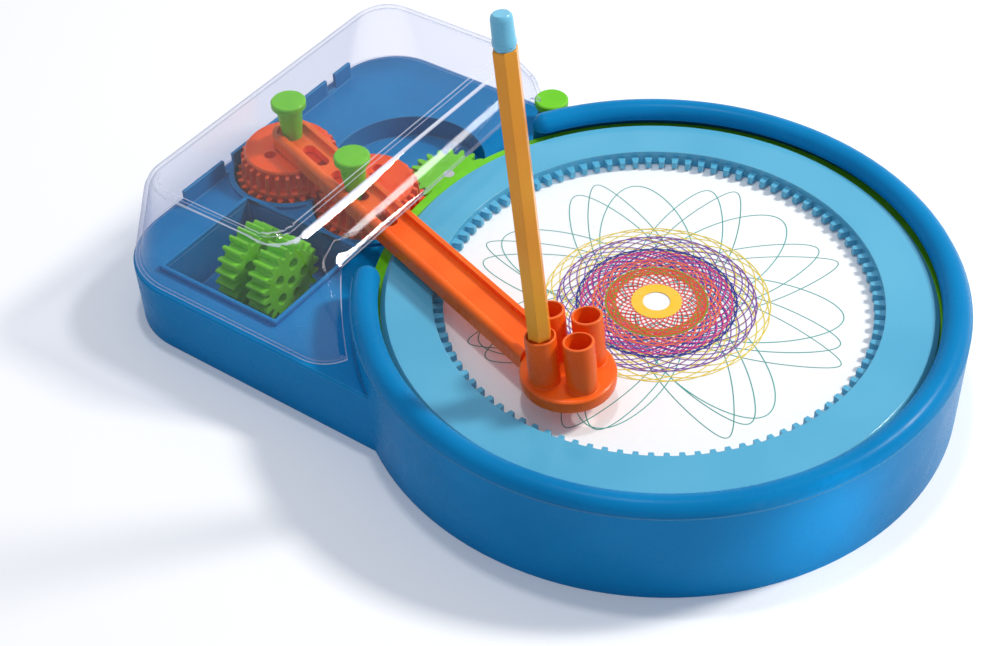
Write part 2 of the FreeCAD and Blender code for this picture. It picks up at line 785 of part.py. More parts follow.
def arm_pin(place, spigot_z):
    web_top = arm_bottom_z + web_thickness
    head_z = pin_top_z - pin_head_thickness
    pin = turned([(0, spigot_z), (pin_spigot_radius, spigot_z), (pin_spigot_radius, web_top),
                  (pin_foot_radius, web_top), (pin_neck_radius, head_z), (pin_head_radius, head_z),
                  (pin_head_radius, pin_top_z - 0.5), (pin_head_radius - 0.5, pin_top_z), (0, pin_top_z)])
    pin.translate(V(place.x, place.y, 0))
    return pin


def sleeve_base(quarter):
    """Point on a sleeve's axis at the top face of the holder's foot."""
    z = arm_bottom_z + holder_thickness
    return holder_place + polar(sleeve_offset, arm_azimuth + 90.0 * quarter, z)


def rake_direction():
    back = polar(math.sin(math.radians(sleeve_rake)), arm_azimuth + 180.0)
    return back + V(0, 0, math.cos(math.radians(sleeve_rake)))


def along_sleeve(quarter, radius, z_low, z_high):
    axis = rake_direction()
    base = sleeve_base(quarter)
    start = base + axis * ((z_low - base.z) / axis.z)
    return Part.makeCylinder(radius, (z_high - z_low) / axis.z, start, axis)


def pen_holder():
    top = arm_bottom_z + holder_thickness
    foot = turned([(0, arm_bottom_z), (holder_radius, arm_bottom_z), (holder_radius, top - 1.2),
                   (holder_radius - 1.2, top), (0, top)])
    foot.translate(holder_place)
    sleeves = [along_sleeve(quarter, sleeve_radius, arm_bottom_z - 3.0, sleeve_top_z) for quarter in range(4)]
    body = join([foot] + sleeves)
    low_cut = cylinder(holder_radius * 2, arm_bottom_z - 20.0, arm_bottom_z, holder_x, holder_y)
    bores = [along_sleeve(quarter, sleeve_bore, arm_bottom_z - 6.0, sleeve_top_z + 5.0) for quarter in range(4)]
    tongue_z = arm_bottom_z + (web_thickness - tongue_thickness) / 2.0
    pocket = block(arm_length - holder_radius - 3.0, arm_length - holder_radius + tongue_length + assembly_gap,
                   -tongue_width / 2.0 - assembly_gap, tongue_width / 2.0 + assembly_gap,
                   tongue_z - assembly_gap, tongue_z + tongue_thickness + assembly_gap)
    return body.cut([low_cut, in_arm_frame(pocket)] + bores)


def on_pen_axis(shape):
    """Places a shape built along +Z from the pen's point into the pen's sleeve."""
    axis = rake_direction()
    base = sleeve_base(3)
    tip_z = ring_bottom_z + pen_paper_gap
    tip = base + axis * ((tip_z - base.z) / axis.z)
    shape.rotate(V(0, 0, 0), UP, arm_azimuth)
    shape.rotate(V(0, 0, 0), polar(1.0, arm_azimuth + 90.0), -sleeve_rake)
    shape.translate(tip)
    return shape


def hexagon(radius, z_low, z_high):
    points = [polar(radius, 60.0 * index, z_low) for index in range(6)]
    return polygon_face(points).extrude(V(0, 0, z_high - z_low))


def pen_barrel():
    return on_pen_axis(hexagon(pen_corner_radius, pen_nose_length + pen_tip_length, pen_length - pen_plug_length))


def pen_end_plug():
    return on_pen_axis(hexagon(pen_corner_radius - 0.1, pen_length - pen_plug_length, pen_length))


def pen_nose():
    low = pen_tip_length
    high = pen_tip_length + pen_nose_length
    flat = pen_corner_radius * math.cos(math.radians(30.0))
    return on_pen_axis(turned([(0, low), (pen_nose_small, low), (flat, high), (0, high)]))


def pen_tip():
    return on_pen_axis(turned([(0, 0), (pen_tip_radius, 0), (pen_tip_radius * 1.6, pen_tip_length),
                               (0, pen_tip_length)]))


def start_button():
    head_z = button_top_z - button_head_thickness
    button = turned([(0, button_stem_bottom_z), (button_stem_radius, button_stem_bottom_z),
                     (button_stem_radius, head_z), (button_head_radius, head_z),
                     (button_head_radius, button_top_z - 0.5), (button_head_radius - 0.5, button_top_z),
                     (0, button_top_z)])
    button.translate(V(button_x, button_y, 0))
    return button


def rounded_wire(x_low, x_high, y_low, y_high, corners, z):
    """Rectangle with its own radius at near left, near right, far right and far left."""
    near_left, near_right, far_right, far_left = corners
    k = 1 - math.sqrt(0.5)
    edges = [
        Part.LineSegment(V(x_low + near_left, y_low, z), V(x_high - near_right, y_low, z)).toShape(),
        Part.Arc(V(x_high - near_right, y_low, z), V(x_high - k * near_right, y_low + k * near_right, z),
                 V(x_high, y_low + near_right, z)).toShape(),
        Part.LineSegment(V(x_high, y_low + near_right, z), V(x_high, y_high - far_right, z)).toShape(),
        Part.Arc(V(x_high, y_high - far_right, z), V(x_high - k * far_right, y_high - k * far_right, z),
                 V(x_high - far_right, y_high, z)).toShape(),
        Part.LineSegment(V(x_high - far_right, y_high, z), V(x_low + far_left, y_high, z)).toShape(),
        Part.Arc(V(x_low + far_left, y_high, z), V(x_low + k * far_left, y_high - k * far_left, z),
                 V(x_low, y_high - far_left, z)).toShape(),
        Part.LineSegment(V(x_low, y_high - far_left, z), V(x_low, y_low + near_left, z)).toShape(),
        Part.Arc(V(x_low, y_low + near_left, z), V(x_low + k * near_left, y_low + k * near_left, z),
                 V(x_low + near_left, y_low, z)).toShape(),
    ]
    return Part.Wire(edges)


def lid_form(inset, foot_z):
    """Closed form of the lid, drawn in by an inset: sloped sides and a rounded top edge."""
    top_z = lid_height_z - inset
    drop = lid_edge_radius - inset
    levels = [(foot_z, 0.0)]
    for degrees in (0.0, 30.0, 60.0, 90.0):
        angle = math.radians(degrees)
        levels.append((top_z - drop + drop * math.sin(angle), drop * (1 - math.cos(angle))))
    wires = []
    full = lid_height_z - deck_height
    for z, draw_in in levels:
        share = (z - deck_height) / full
        x_low = -lid_left + share * (lid_left + lid_top_left) + inset + draw_in
        x_high = lid_right_foot + share * (lid_top_right - lid_right_foot) - inset - draw_in
        y_low = -lid_near + share * (lid_near + lid_top_near) + inset + draw_in
        y_high = lid_far + share * (lid_top_far - lid_far) - inset - draw_in
        shrink = inset + draw_in
        corners = [lid_near_corner + share * (lid_top_corner - lid_near_corner) - shrink,
                   lid_top_corner - shrink, lid_top_corner - shrink,
                   lid_far_corner + share * (lid_top_corner - lid_far_corner) - shrink]
        wires.append(rounded_wire(x_low, x_high, y_low, y_high, [max(c, 1.0) for c in corners], z))
    return Part.makeLoft(wires, True, True)


def lid():
    foot = deck_height + lid_seat_gap
    shell = lid_form(0.0, foot).cut(lid_form(lid_wall, foot - 1.0))
    cuts = [cylinder(drum_radius + lid_drum_gap, deck_height - 5.0, lid_window_z),
            cylinder(button_head_radius + lid_button_gap, deck_height - 5.0, lid_window_z, button_x, button_y),
            block(button_x, 0.0, button_y - button_head_radius, housing_far + 1.0, deck_height - 5.0, lid_window_z)]
    return shell.cut(cuts)


def write(name, shape):
    shape.exportStep("parts/" + name + ".step")


def main():
    os.makedirs("parts", exist_ok=True)
    spares = spare_centres()
    pieces = {
        "base_shell": base_shell(),
        "bottom_cover": bottom_cover(),
        "battery_door": battery_door(),
        "cover_screws": cover_screws(),
        "batteries": batteries(),
        "battery_contacts": battery_contacts(),
        "gearbox": gearbox(),
        "motor_can": motor_can(),
        "turntable_axle": turntable_axle(),
        "gear_axles": gear_axles(),
        "start_switch": start_switch(),
        "spare_gear_left": spare_gear(spares[0]),
        "spare_gear_right": spare_gear(spares[1]),
        "turntable": turntable(),
        "hub_bush": hub_bush(),
        "paper_sheet": paper_sheet(),
        "ring_frame": ring_frame(),
        "drive_gear": drive_gear(),
        "drive_shaft": drive_shaft(),
        "front_disc_gear": disc_gear(front_disc_phase, front_disc_centre, front_hole_row),
        "rear_disc_gear": disc_gear(rear_disc_phase, rear_disc_centre, rear_hole_row),
        "rear_pin": arm_pin(rear_pin_place, pin_hole_floor_z + 0.3),
        "drawing_arm": drawing_arm(),
        "front_pin": arm_pin(front_pin_place, arm_bottom_z),
        "pen_holder": pen_holder(),
        "pen_barrel": pen_barrel(),
        "pen_end_plug": pen_end_plug(),
        "pen_nose": pen_nose(),
        "pen_tip": pen_tip(),
        "start_button": start_button(),
        "lid": lid(),
    }
    for name, shape in pieces.items():
        write(name, shape)
        print(name, "solids", len(shape.Solids), "valid", shape.isValid(), "volume", round(shape.Volume, 1))


main()
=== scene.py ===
import json
import math

import bmesh
import bpy
from mathutils import Matrix, Vector


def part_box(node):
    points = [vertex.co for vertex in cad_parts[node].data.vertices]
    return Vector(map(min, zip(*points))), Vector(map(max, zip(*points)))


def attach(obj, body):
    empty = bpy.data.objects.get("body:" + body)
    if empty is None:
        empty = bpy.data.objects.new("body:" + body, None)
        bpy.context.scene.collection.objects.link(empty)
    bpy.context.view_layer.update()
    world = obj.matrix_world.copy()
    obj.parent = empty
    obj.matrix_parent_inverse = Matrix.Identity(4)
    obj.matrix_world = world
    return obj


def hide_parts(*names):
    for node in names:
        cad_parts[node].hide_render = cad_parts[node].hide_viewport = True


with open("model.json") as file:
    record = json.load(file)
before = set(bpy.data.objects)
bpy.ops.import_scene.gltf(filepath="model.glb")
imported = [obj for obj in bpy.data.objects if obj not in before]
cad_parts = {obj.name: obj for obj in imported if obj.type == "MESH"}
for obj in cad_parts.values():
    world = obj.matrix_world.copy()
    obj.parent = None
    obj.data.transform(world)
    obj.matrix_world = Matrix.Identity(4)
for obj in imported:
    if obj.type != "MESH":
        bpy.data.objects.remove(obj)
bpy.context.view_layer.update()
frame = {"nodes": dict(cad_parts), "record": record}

MM = 0.001
UP = Vector((0.0, 0.0, 1.0))
# corners nearer to each other than this, in metres, are joined: on solids, and on made shapes
SOLID_WELD = 2e-6
MADE_WELD = 1e-7


def linear(hex_code):
    """An sRGB hex colour as linear red, green, blue and alpha."""
    values = []
    for start in (0, 2, 4):
        share = int(hex_code[start:start + 2], 16) / 255.0
        values.append(share / 12.92 if share <= 0.04045 else ((share + 0.055) / 1.055) ** 2.4)
    return (values[0], values[1], values[2], 1.0)


WHITE = linear("FFFFFF")
BLACK = linear("000000")


def add_node(tree, kind, inputs=None, **settings):
    """Adds a node. An input given as a socket is linked, and any other value is set."""
    node = tree.nodes.new(kind)
    for name, value in settings.items():
        setattr(node, name, value)
    for name, value in (inputs or {}).items():
        if isinstance(value, bpy.types.NodeSocket):
            tree.links.new(value, node.inputs[name])
        else:
            node.inputs[name].default_value = value
    return node


def calc(tree, operation, first, second=0.0):
    return add_node(tree, "ShaderNodeMath", {0: first, 1: second}, operation=operation).outputs[0]


# Camera

LENS_MM = 64.02
SENSOR_MM = 36.0
CAMERA_PLACE = (0.2172, -0.3793, 0.4277)
CAMERA_FORWARD = (-0.4394, 0.5831, -0.6833)
CAMERA_ROLL_DEGREES = -2.59


def place_camera():
    data = bpy.data.cameras.new("photo_camera")
    data.sensor_width = SENSOR_MM
    data.lens = LENS_MM
    camera = bpy.data.objects.new("photo_camera", data)
    bpy.context.scene.collection.objects.link(camera)
    forward = Vector(CAMERA_FORWARD).normalized()
    right = forward.cross(UP).normalized()
    upward = right.cross(forward)
    roll = math.radians(CAMERA_ROLL_DEGREES)
    right_rolled = math.cos(roll) * right + math.sin(roll) * upward
    up_rolled = math.cos(roll) * upward - math.sin(roll) * right
    turn = Matrix((right_rolled, up_rolled, -forward)).transposed().to_4x4()
    camera.matrix_world = Matrix.Translation(CAMERA_PLACE) @ turn
    bpy.context.scene.camera = camera


# Floor, backdrop and lamps

FLOOR_SIZE = 6.0
FLOOR_LIFT = 0.1
ROOM_STRENGTH = 0.46
DRUM_LAMP_SPREAD_DEGREES = 6.0


def start_material(name):
    material = bpy.data.materials.new(name)
    material.use_nodes = True
    tree = material.node_tree
    tree.nodes.clear()
    return material, tree


def lay_floor():
    """Matt white floor, lifted a little where it is looked at directly."""
    half = FLOOR_SIZE / 2.0
    mesh = bpy.data.meshes.new("studio_floor")
    corners = [(-half, -half, 0.0), (half, -half, 0.0), (half, half, 0.0), (-half, half, 0.0)]
    mesh.from_pydata(corners, [], [(0, 1, 2, 3)])
    floor = bpy.data.objects.new("studio_floor", mesh)
    bpy.context.scene.collection.objects.link(floor)
    material, tree = start_material("matt_white_floor")
    path = add_node(tree, "ShaderNodeLightPath")
    lift = calc(tree, "MULTIPLY", path.outputs["Is Camera Ray"], FLOOR_LIFT)
    diffuse = add_node(tree, "ShaderNodeBsdfDiffuse", {"Color": linear("FCFCFD")})
    glow = add_node(tree, "ShaderNodeEmission", {"Color": WHITE, "Strength": lift})
    both = add_node(tree, "ShaderNodeAddShader", {0: diffuse.outputs[0], 1: glow.outputs[0]})
    add_node(tree, "ShaderNodeOutputMaterial", {"Surface": both.outputs[0]})
    mesh.materials.append(material)


def light_world():
    """Pale room that lights softly. What looks straight at it, mirrors it or sees it through
    clear plastic gets plain white."""
    world = bpy.data.worlds.new("white_room")
    bpy.context.scene.world = world
    world.use_nodes = True
    tree = world.node_tree
    tree.nodes.clear()
    path = add_node(tree, "ShaderNodeLightPath").outputs
    straight = calc(tree, "MAXIMUM", path["Is Camera Ray"], path["Is Transmission Ray"])
    seen = calc(tree, "MAXIMUM", straight, path["Is Glossy Ray"])
    room = add_node(tree, "ShaderNodeBackground", {"Color": linear("DDE8FA"),
                                                   "Strength": ROOM_STRENGTH})
    backdrop = add_node(tree, "ShaderNodeBackground", {"Color": WHITE, "Strength": 1.0})
    both = add_node(tree, "ShaderNodeMixShader", {0: seen, 1: room.outputs[0],
                                                  2: backdrop.outputs[0]})
    add_node(tree, "ShaderNodeOutputWorld", {"Surface": both.outputs[0]})


def hang_lamp(name, place, aim, size, watts, colour="FFFFFF", along=(1.0, 0.0, 0.0)):
    """A soft rectangular lamp that faces the point it lights, its long side along a direction."""
    data = bpy.data.lights.new(name, "AREA")
    data.shape = "RECTANGLE"
    data.size = size[0]
    data.size_y = size[1]
    data.energy = watts
    data.color = linear(colour)[:3]
    lamp = bpy.data.objects.new(name, data)
    bpy.context.scene.collection.objects.link(lamp)
    back = (Vector(place) - Vector(aim)).normalized()
    across = back.cross(Vector(along)).normalized()
    lengthwise = across.cross(back)
    turn = Matrix((lengthwise, across, back)).transposed().to_4x4()
    lamp.matrix_world = Matrix.Translation(place) @ turn
    return data


def light_studio():
    """A warm key lamp behind the turntable, a strip that the lid mirrors, a lamp overhead and a
    narrow one on the drum's wall."""
    hang_lamp("key_softbox", place=(0.62, 0.76, 1.02), aim=(-0.04, -0.01, 0.02), size=(0.2, 0.2),
              watts=14.6, colour="FFFAF0")
    hang_lamp("lid_strip_lamp", place=(0.7226, 0.698, 0.583), aim=(-0.088, -0.02, 0.045),
              size=(0.36, 0.007), watts=0.12, along=(-0.115, 0.335, -0.073))
    hang_lamp("overhead_softbox", place=(-0.15, 0.1, 1.25), aim=(-0.04, 0.0, 0.03), size=(0.1, 0.1),
              watts=2.9)
    wall = hang_lamp("drum_wall_lamp", place=(0.62, -0.32, 0.11), aim=(0.09, -0.047, 0.02),
                     size=(0.03, 0.03), watts=0.004)
    wall.spread = math.radians(DRUM_LAMP_SPREAD_DEGREES)


# Materials. Patch sizes are in real millimetres.

SMUDGE_MM = 11.0
SKIN_MM = 0.9
SKIN_DEPTH_MM = 0.02
HAZE_MM = 24.0
CUT_EDGE_MM = 0.8
PAPER_CLOUD_MM = 4.0
PAPER_TOOTH_MM = 0.03
STEEL_STREAK_MM = 0.4
INK_FLOW_MM = 3.0

# how far the lid's surface looks up, and how white the two painted highlight lines on its rounded turn
# are there
PAINTED_TURN_HIGHLIGHTS = ((0.79, 0.0), (0.803, 0.6), (0.83, 0.6), (0.842, 0.0),
              (0.95, 0.0), (0.957, 0.45), (0.966, 0.45), (0.973, 0.0))


def object_place(tree):
    return add_node(tree, "ShaderNodeTexCoord").outputs["Object"]


def noise(tree, place, patch_mm, detail, roughness=0.5):
    """Noise with patches of about the given size."""
    return add_node(tree, "ShaderNodeTexNoise", {
        "Vector": place, "Scale": 1.0 / (patch_mm * MM), "Detail": detail,
        "Roughness": roughness}).outputs["Fac"]


def carried(tree, value, low, high, to_low=0.0, to_high=1.0):
    """A value carried over from one range to another and held at its ends."""
    return add_node(tree, "ShaderNodeMapRange", {
        "Value": value, "From Min": low, "From Max": high, "To Min": to_low,
        "To Max": to_high}).outputs["Result"]


def mixed(tree, share, first, second):
    """A colour that passes into another as the share grows."""
    return add_node(tree, "ShaderNodeMix", {0: share, 6: first, 7: second},
                    data_type="RGBA").outputs[2]


def edge_measure(tree, radius_mm, samples):
    """The normal rounded over edges, the plain normal, and how well they agree: 1 off the edges."""
    rounded = add_node(tree, "ShaderNodeBevel", {"Radius": radius_mm * MM}, samples=samples).outputs[0]
    plain = add_node(tree, "ShaderNodeNewGeometry").outputs["Normal"]
    agreement = add_node(tree, "ShaderNodeVectorMath", {0: rounded, 1: plain}, operation="DOT_PRODUCT")
    return rounded, plain, agreement.outputs["Value"]


def moulded_plastic(name, colour, deep, roughness, flow_mm=38.0, edge_mm=0.45, edge=None,
                    passing=0.0, specular=0.5):
    """Injection-moulded plastic: colour that drifts slowly with the flow, edges rounded by
    the tool with a paler painted highlight along them, a very fine spark-eroded skin, and
    handling marks that dull the gloss in places."""
    material, tree = start_material(name)
    place = object_place(tree)
    drift = carried(tree, noise(tree, place, flow_mm, 2.0, 0.45), 0.35, 0.68)
    tone = mixed(tree, drift, linear(colour), linear(deep))
    dulling = carried(tree, noise(tree, place, SMUDGE_MM, 5.0, 0.62), 0.3, 0.75, roughness * 0.8,
                      roughness * 1.35)
    skin = noise(tree, place, SKIN_MM, 3.0, 0.6)
    rounded, _, agreement = edge_measure(tree, edge_mm, 4)
    relief = add_node(tree, "ShaderNodeBump", {
        "Height": skin, "Strength": 0.16, "Distance": SKIN_DEPTH_MM * MM, "Normal": rounded})
    # painted highlight: the colour turns towards the paler edge colour along edges
    painted_edge_highlight = carried(tree, agreement, 0.98, 0.8, 0.0, 0.6)
    surface = add_node(tree, "ShaderNodeBsdfPrincipled", {
        "Base Color": mixed(tree, painted_edge_highlight, tone, linear(edge or colour)), "Roughness": dulling,
        "Normal": relief.outputs["Normal"], "IOR": 1.5, "Specular IOR Level": specular,
        "Transmission Weight": passing})
    add_node(tree, "ShaderNodeOutputMaterial", {"Surface": surface.outputs[0]})
    return material


def clear_styrene(name):
    """Crystal-clear polystyrene wall: nearly invisible face on, with a faint lavender cast, and a
    painted white highlight along its edges, in two lines where it turns and at a slant. It dims
    the lamps, more so where they cross it at a slant, and throws a pale shadow."""
    material, tree = start_material(name)
    haze = noise(tree, object_place(tree), HAZE_MM, 4.0, 0.55)
    gloss = carried(tree, haze, 0.35, 0.7, 0.014, 0.02)
    slant = add_node(tree, "ShaderNodeLayerWeight", {"Blend": 0.5}).outputs["Facing"]
    steep = calc(tree, "POWER", slant, 5.0)
    mirror_share = carried(tree, steep, 0.0, 1.0, 0.02, 0.4)
    _, plain, agreement = edge_measure(tree, CUT_EDGE_MM, 6)
    # painted highlight: white along the lid's edges, and more of it at a slant
    painted_edge_and_slant_highlight = calc(tree, "MAXIMUM", carried(tree, agreement, 0.995, 0.8, 0.0, 0.7),
                    calc(tree, "MULTIPLY", steep, 0.3))
    # painted highlight: white lines where the surface faces the listed directions
    upright = add_node(tree, "ShaderNodeSeparateXYZ", {0: plain}).outputs["Z"]
    turn = add_node(tree, "ShaderNodeValToRGB", {0: upright})
    for look_up, whiteness in PAINTED_TURN_HIGHLIGHTS:
        turn.color_ramp.elements.new(look_up).color = (whiteness, whiteness, whiteness, 1.0)
    turn.color_ramp.elements[0].color = BLACK
    turn.color_ramp.elements[-1].color = BLACK
    painted_highlight_share = calc(tree, "MAXIMUM", painted_edge_and_slant_highlight, turn.outputs["Color"])
    cast = mixed(tree, steep, linear("FCFCFE"), linear("B4BBDA"))
    dimmed = mixed(tree, carried(tree, slant, 0.34, 0.44), linear("F8F8FA"), linear("E8E9EE"))
    shade = add_node(tree, "ShaderNodeLightPath").outputs["Is Shadow Ray"]
    passing = add_node(tree, "ShaderNodeBsdfTransparent", {"Color": mixed(tree, shade, cast, dimmed)})
    mirror = add_node(tree, "ShaderNodeBsdfGlossy", {"Color": WHITE, "Roughness": gloss})
    # the white diffuse sheet that carries the painted highlight
    painted_highlight_veil = add_node(tree, "ShaderNodeBsdfDiffuse", {"Color": linear("E4E8F6")})
    glass = add_node(tree, "ShaderNodeMixShader", {0: mirror_share, 1: passing.outputs[0],
                                                   2: mirror.outputs[0]})
    both = add_node(tree, "ShaderNodeMixShader", {0: painted_highlight_share, 1: glass.outputs[0],
                                                  2: painted_highlight_veil.outputs[0]})
    add_node(tree, "ShaderNodeOutputMaterial", {"Surface": both.outputs[0]})
    return material


def drawing_paper(name):
    """Smooth white drawing paper: matt, with a faint tooth from the felt it was pressed on."""
    material, tree = start_material(name)
    cloud = noise(tree, object_place(tree), PAPER_CLOUD_MM, 6.0, 0.7)
    tooth = add_node(tree, "ShaderNodeBump", {"Height": cloud, "Strength": 0.2,
                                              "Distance": PAPER_TOOTH_MM * MM})
    surface = add_node(tree, "ShaderNodeBsdfPrincipled", {
        "Base Color": mixed(tree, cloud, linear("FBFCFD"), linear("F1F4F6")), "Roughness": 0.85,
        "Normal": tooth.outputs["Normal"], "Specular IOR Level": 0.25})
    add_node(tree, "ShaderNodeOutputMaterial", {"Surface": surface.outputs[0]})
    return material


def brushed_steel(name):
    """Cold-drawn steel: grey metal with fine streaks along its length."""
    material, tree = start_material(name)
    along = add_node(tree, "ShaderNodeMapping", {"Vector": object_place(tree),
                                                 "Scale": (1.0, 1.0, 0.06)})
    streak = noise(tree, along.outputs[0], STEEL_STREAK_MM, 3.0)
    surface = add_node(tree, "ShaderNodeBsdfPrincipled", {
        "Base Color": linear("C4C6C8"), "Metallic": 1.0,
        "Roughness": carried(tree, streak, 0.0, 1.0, 0.18, 0.36)})
    add_node(tree, "ShaderNodeOutputMaterial", {"Surface": surface.outputs[0]})
    return material


def ink(name, colour):
    """Felt-tip ink on paper: a thin matt line, a little paler where the nib ran fast."""
    material, tree = start_material(name)
    flow = noise(tree, object_place(tree), INK_FLOW_MM, 2.0)
    pale = add_node(tree, "ShaderNodeHueSaturation", {"Color": linear(colour), "Saturation": 0.9})
    surface = add_node(tree, "ShaderNodeBsdfPrincipled", {
        "Base Color": mixed(tree, flow, linear(colour), pale.outputs[0]), "Roughness": 0.7,
        "Specular IOR Level": 0.2})
    add_node(tree, "ShaderNodeOutputMaterial", {"Surface": surface.outputs[0]})
    return material


# each edge colour is a paler painted highlight laid along that part's edges
blue_abs = moulded_plastic("blue_moulded_abs", "0983C0", "0579B4", 0.27, edge_mm=0.7,
                           edge="7CC2EE", specular=0.07)
green_abs = moulded_plastic("green_moulded_abs", "7AD826", "6CCC1E", 0.26, flow_mm=14.0,
                            edge="B6EE7A", specular=0.2)
red_acetal = moulded_plastic("red_moulded_acetal", "FF5A10", "F64E0C", 0.28, flow_mm=12.0,
                             edge="FFA060", specular=0.2)
orange_abs = moulded_plastic("orange_red_moulded_abs", "FF6E1E", "FA6014", 0.26, flow_mm=20.0,
                             edge="FFB070", specular=0.2)
pale_blue_styrene = moulded_plastic("pale_blue_tinted_styrene", "62BCE0", "58B4DA", 0.12,
                                    edge="A6E2F6", passing=0.1, specular=0.25)
amber_styrene = moulded_plastic("amber_pen_styrene", "F9A833", "F1952A", 0.18, flow_mm=30.0,
                                specular=0.2)
sky_styrene = moulded_plastic("sky_blue_pen_plug_styrene", "74C4E3", "66B8D9", 0.25)
grey_nylon = moulded_plastic("grey_nib_nylon", "4A4E52", "3C4044", 0.45)
white_nylon = moulded_plastic("natural_nylon", "E4E2DA", "D8D5CC", 0.4)
cell_sleeve = moulded_plastic("battery_shrink_sleeve", "3A4048", "2E343B", 0.3)
steel = brushed_steel("drawn_steel")
paper = drawing_paper("smooth_drawing_paper")
clear_lid = clear_styrene("clear_lid_styrene")

FINISHES = {
    "blue_abs": blue_abs,
    "green_abs": green_abs,
    "red_abs": red_acetal,
    "ring_clear_blue": pale_blue_styrene,
    "clear_styrene": clear_lid,
    "paper": paper,
    "pen_orange": amber_styrene,
    "pen_blue": sky_styrene,
    "pen_grey": grey_nylon,
    "steel": steel,
    "nylon": white_nylon,
    "battery_sleeve": cell_sleeve,
}
ORANGE_NODES = ("drawing_arm", "pen_holder")


def finish_nodes():
    for part in frame["record"]["subparts"]:
        node = frame["nodes"][part["node"]]
        finish = orange_abs if part["node"] in ORANGE_NODES else FINISHES[part["material_slot"]]
        for slot in node.material_slots:
            slot.material = finish


# Turned and moulded pieces that stand in for plainer solids

SOFT_DEGREES = 32.0


def at_mm(x, y, z):
    return Vector((x * MM, y * MM, z * MM))


def joint_place(name):
    for joint in frame["record"]["behaviour"]["joints"]:
        if joint["name"] == name:
            return Vector(joint["pos_m"])


def solid_shell(node_name):
    """A bmesh of a node's solid, its facets joined at their corners."""
    shell = bmesh.new()
    shell.from_mesh(frame["nodes"][node_name].data)
    bmesh.ops.remove_doubles(shell, verts=shell.verts, dist=SOLID_WELD)
    return shell


def turned_shell(shell, profile, centre, axis=UP, steps=72):
    """Adds a closed shape turned about an axis, from (radius, height) pairs in millimetres that
    start and end on the axis."""
    up = Vector(axis).normalized()
    side = up.cross(Vector((0.0, 1.0, 0.0))).normalized()
    front = up.cross(side)
    rings = []
    for radius, height in profile:
        middle = Vector(centre) + up * (height * MM)
        if radius == 0.0:
            rings.append([shell.verts.new(middle)])
            continue
        ring = []
        for step in range(steps):
            angle = math.tau * step / steps
            outward = side * math.cos(angle) + front * math.sin(angle)
            ring.append(shell.verts.new(middle + outward * (radius * MM)))
        rings.append(ring)
    for low, high in zip(rings[:-1], rings[1:]):
        for step in range(steps):
            after = (step + 1) % steps
            corners = [low[step % len(low)], low[after % len(low)], high[after % len(high)],
                       high[step % len(high)]]
            distinct = [corner for index, corner in enumerate(corners) if corner not in corners[:index]]
            if len(distinct) > 2:
                shell.faces.new(distinct)


def finished(name, shell, material, soft_degrees=SOFT_DEGREES):
    """A smooth-shaded object from a bmesh, its faces pointing outwards."""
    bmesh.ops.remove_doubles(shell, verts=shell.verts, dist=MADE_WELD)
    bmesh.ops.recalc_face_normals(shell, faces=shell.faces)
    mesh = bpy.data.meshes.new(name)
    shell.to_mesh(mesh)
    shell.free()
    mesh.materials.append(material)
    mesh.shade_smooth()
    mesh.set_sharp_from_angle(angle=math.radians(soft_degrees))
    piece = bpy.data.objects.new(name, mesh)
    bpy.context.scene.collection.objects.link(piece)
    return piece


def keep_result(piece, modifier):
    """Puts what a modifier makes of the piece into its mesh, and takes the modifier off."""
    depsgraph = bpy.context.evaluated_depsgraph_get()
    mesh = bpy.data.meshes.new_from_object(piece.evaluated_get(depsgraph), depsgraph=depsgraph)
    piece.modifiers.remove(modifier)
    piece.data = mesh
    mesh.name = piece.name


def carve(piece, cutter, operation="DIFFERENCE"):
    """Cuts another closed shape from the piece, or joins it on, and uses it up."""
    modifier = piece.modifiers.new("carve", "BOOLEAN")
    modifier.operation = operation
    modifier.solver = "EXACT"
    modifier.use_self = True
    modifier.object = cutter
    keep_result(piece, modifier)
    bpy.data.objects.remove(cutter)
    piece.data.shade_smooth()
    piece.data.set_sharp_from_angle(angle=math.radians(SOFT_DEGREES))


# Geometry Nodes

def open_group(name, sockets):
    """A Geometry Nodes tree with named inputs, and what those inputs give."""
    tree = bpy.data.node_groups.new(name, "GeometryNodeTree")
    for socket, kind in sockets:
        tree.interface.new_socket(name=socket, in_out="INPUT", socket_type="NodeSocket" + kind)
    tree.interface.new_socket(name="Geometry", in_out="OUTPUT", socket_type="NodeSocketGeometry")
    return tree, add_node(tree, "NodeGroupInput").outputs


def close_group(tree, geometry, material):
    real = add_node(tree, "GeometryNodeRealizeInstances", {0: geometry})
    done = add_node(tree, "GeometryNodeSetMaterial", {"Geometry": real.outputs[0],
                                                      "Material": material})
    add_node(tree, "NodeGroupOutput", {0: done.outputs[0]})


def made_by_nodes(name, tree, values):
    """Plain mesh object from a Geometry Nodes tree and its named inputs."""
    host = bpy.data.objects.new(name, bpy.data.meshes.new(name + "_host"))
    bpy.context.scene.collection.objects.link(host)
    modifier = host.modifiers.new("shape", "NODES")
    modifier.node_group = tree
    for item in tree.interface.items_tree:
        if item.in_out == "INPUT" and item.name in values:
            modifier[item.identifier] = values[item.name]
    keep_result(host, modifier)
    return host


# The two red disc gears: a toothed wheel, a rim, a waist with ribs like a crown and a top disc.
# Profiles are (radius, height) pairs in millimetres.

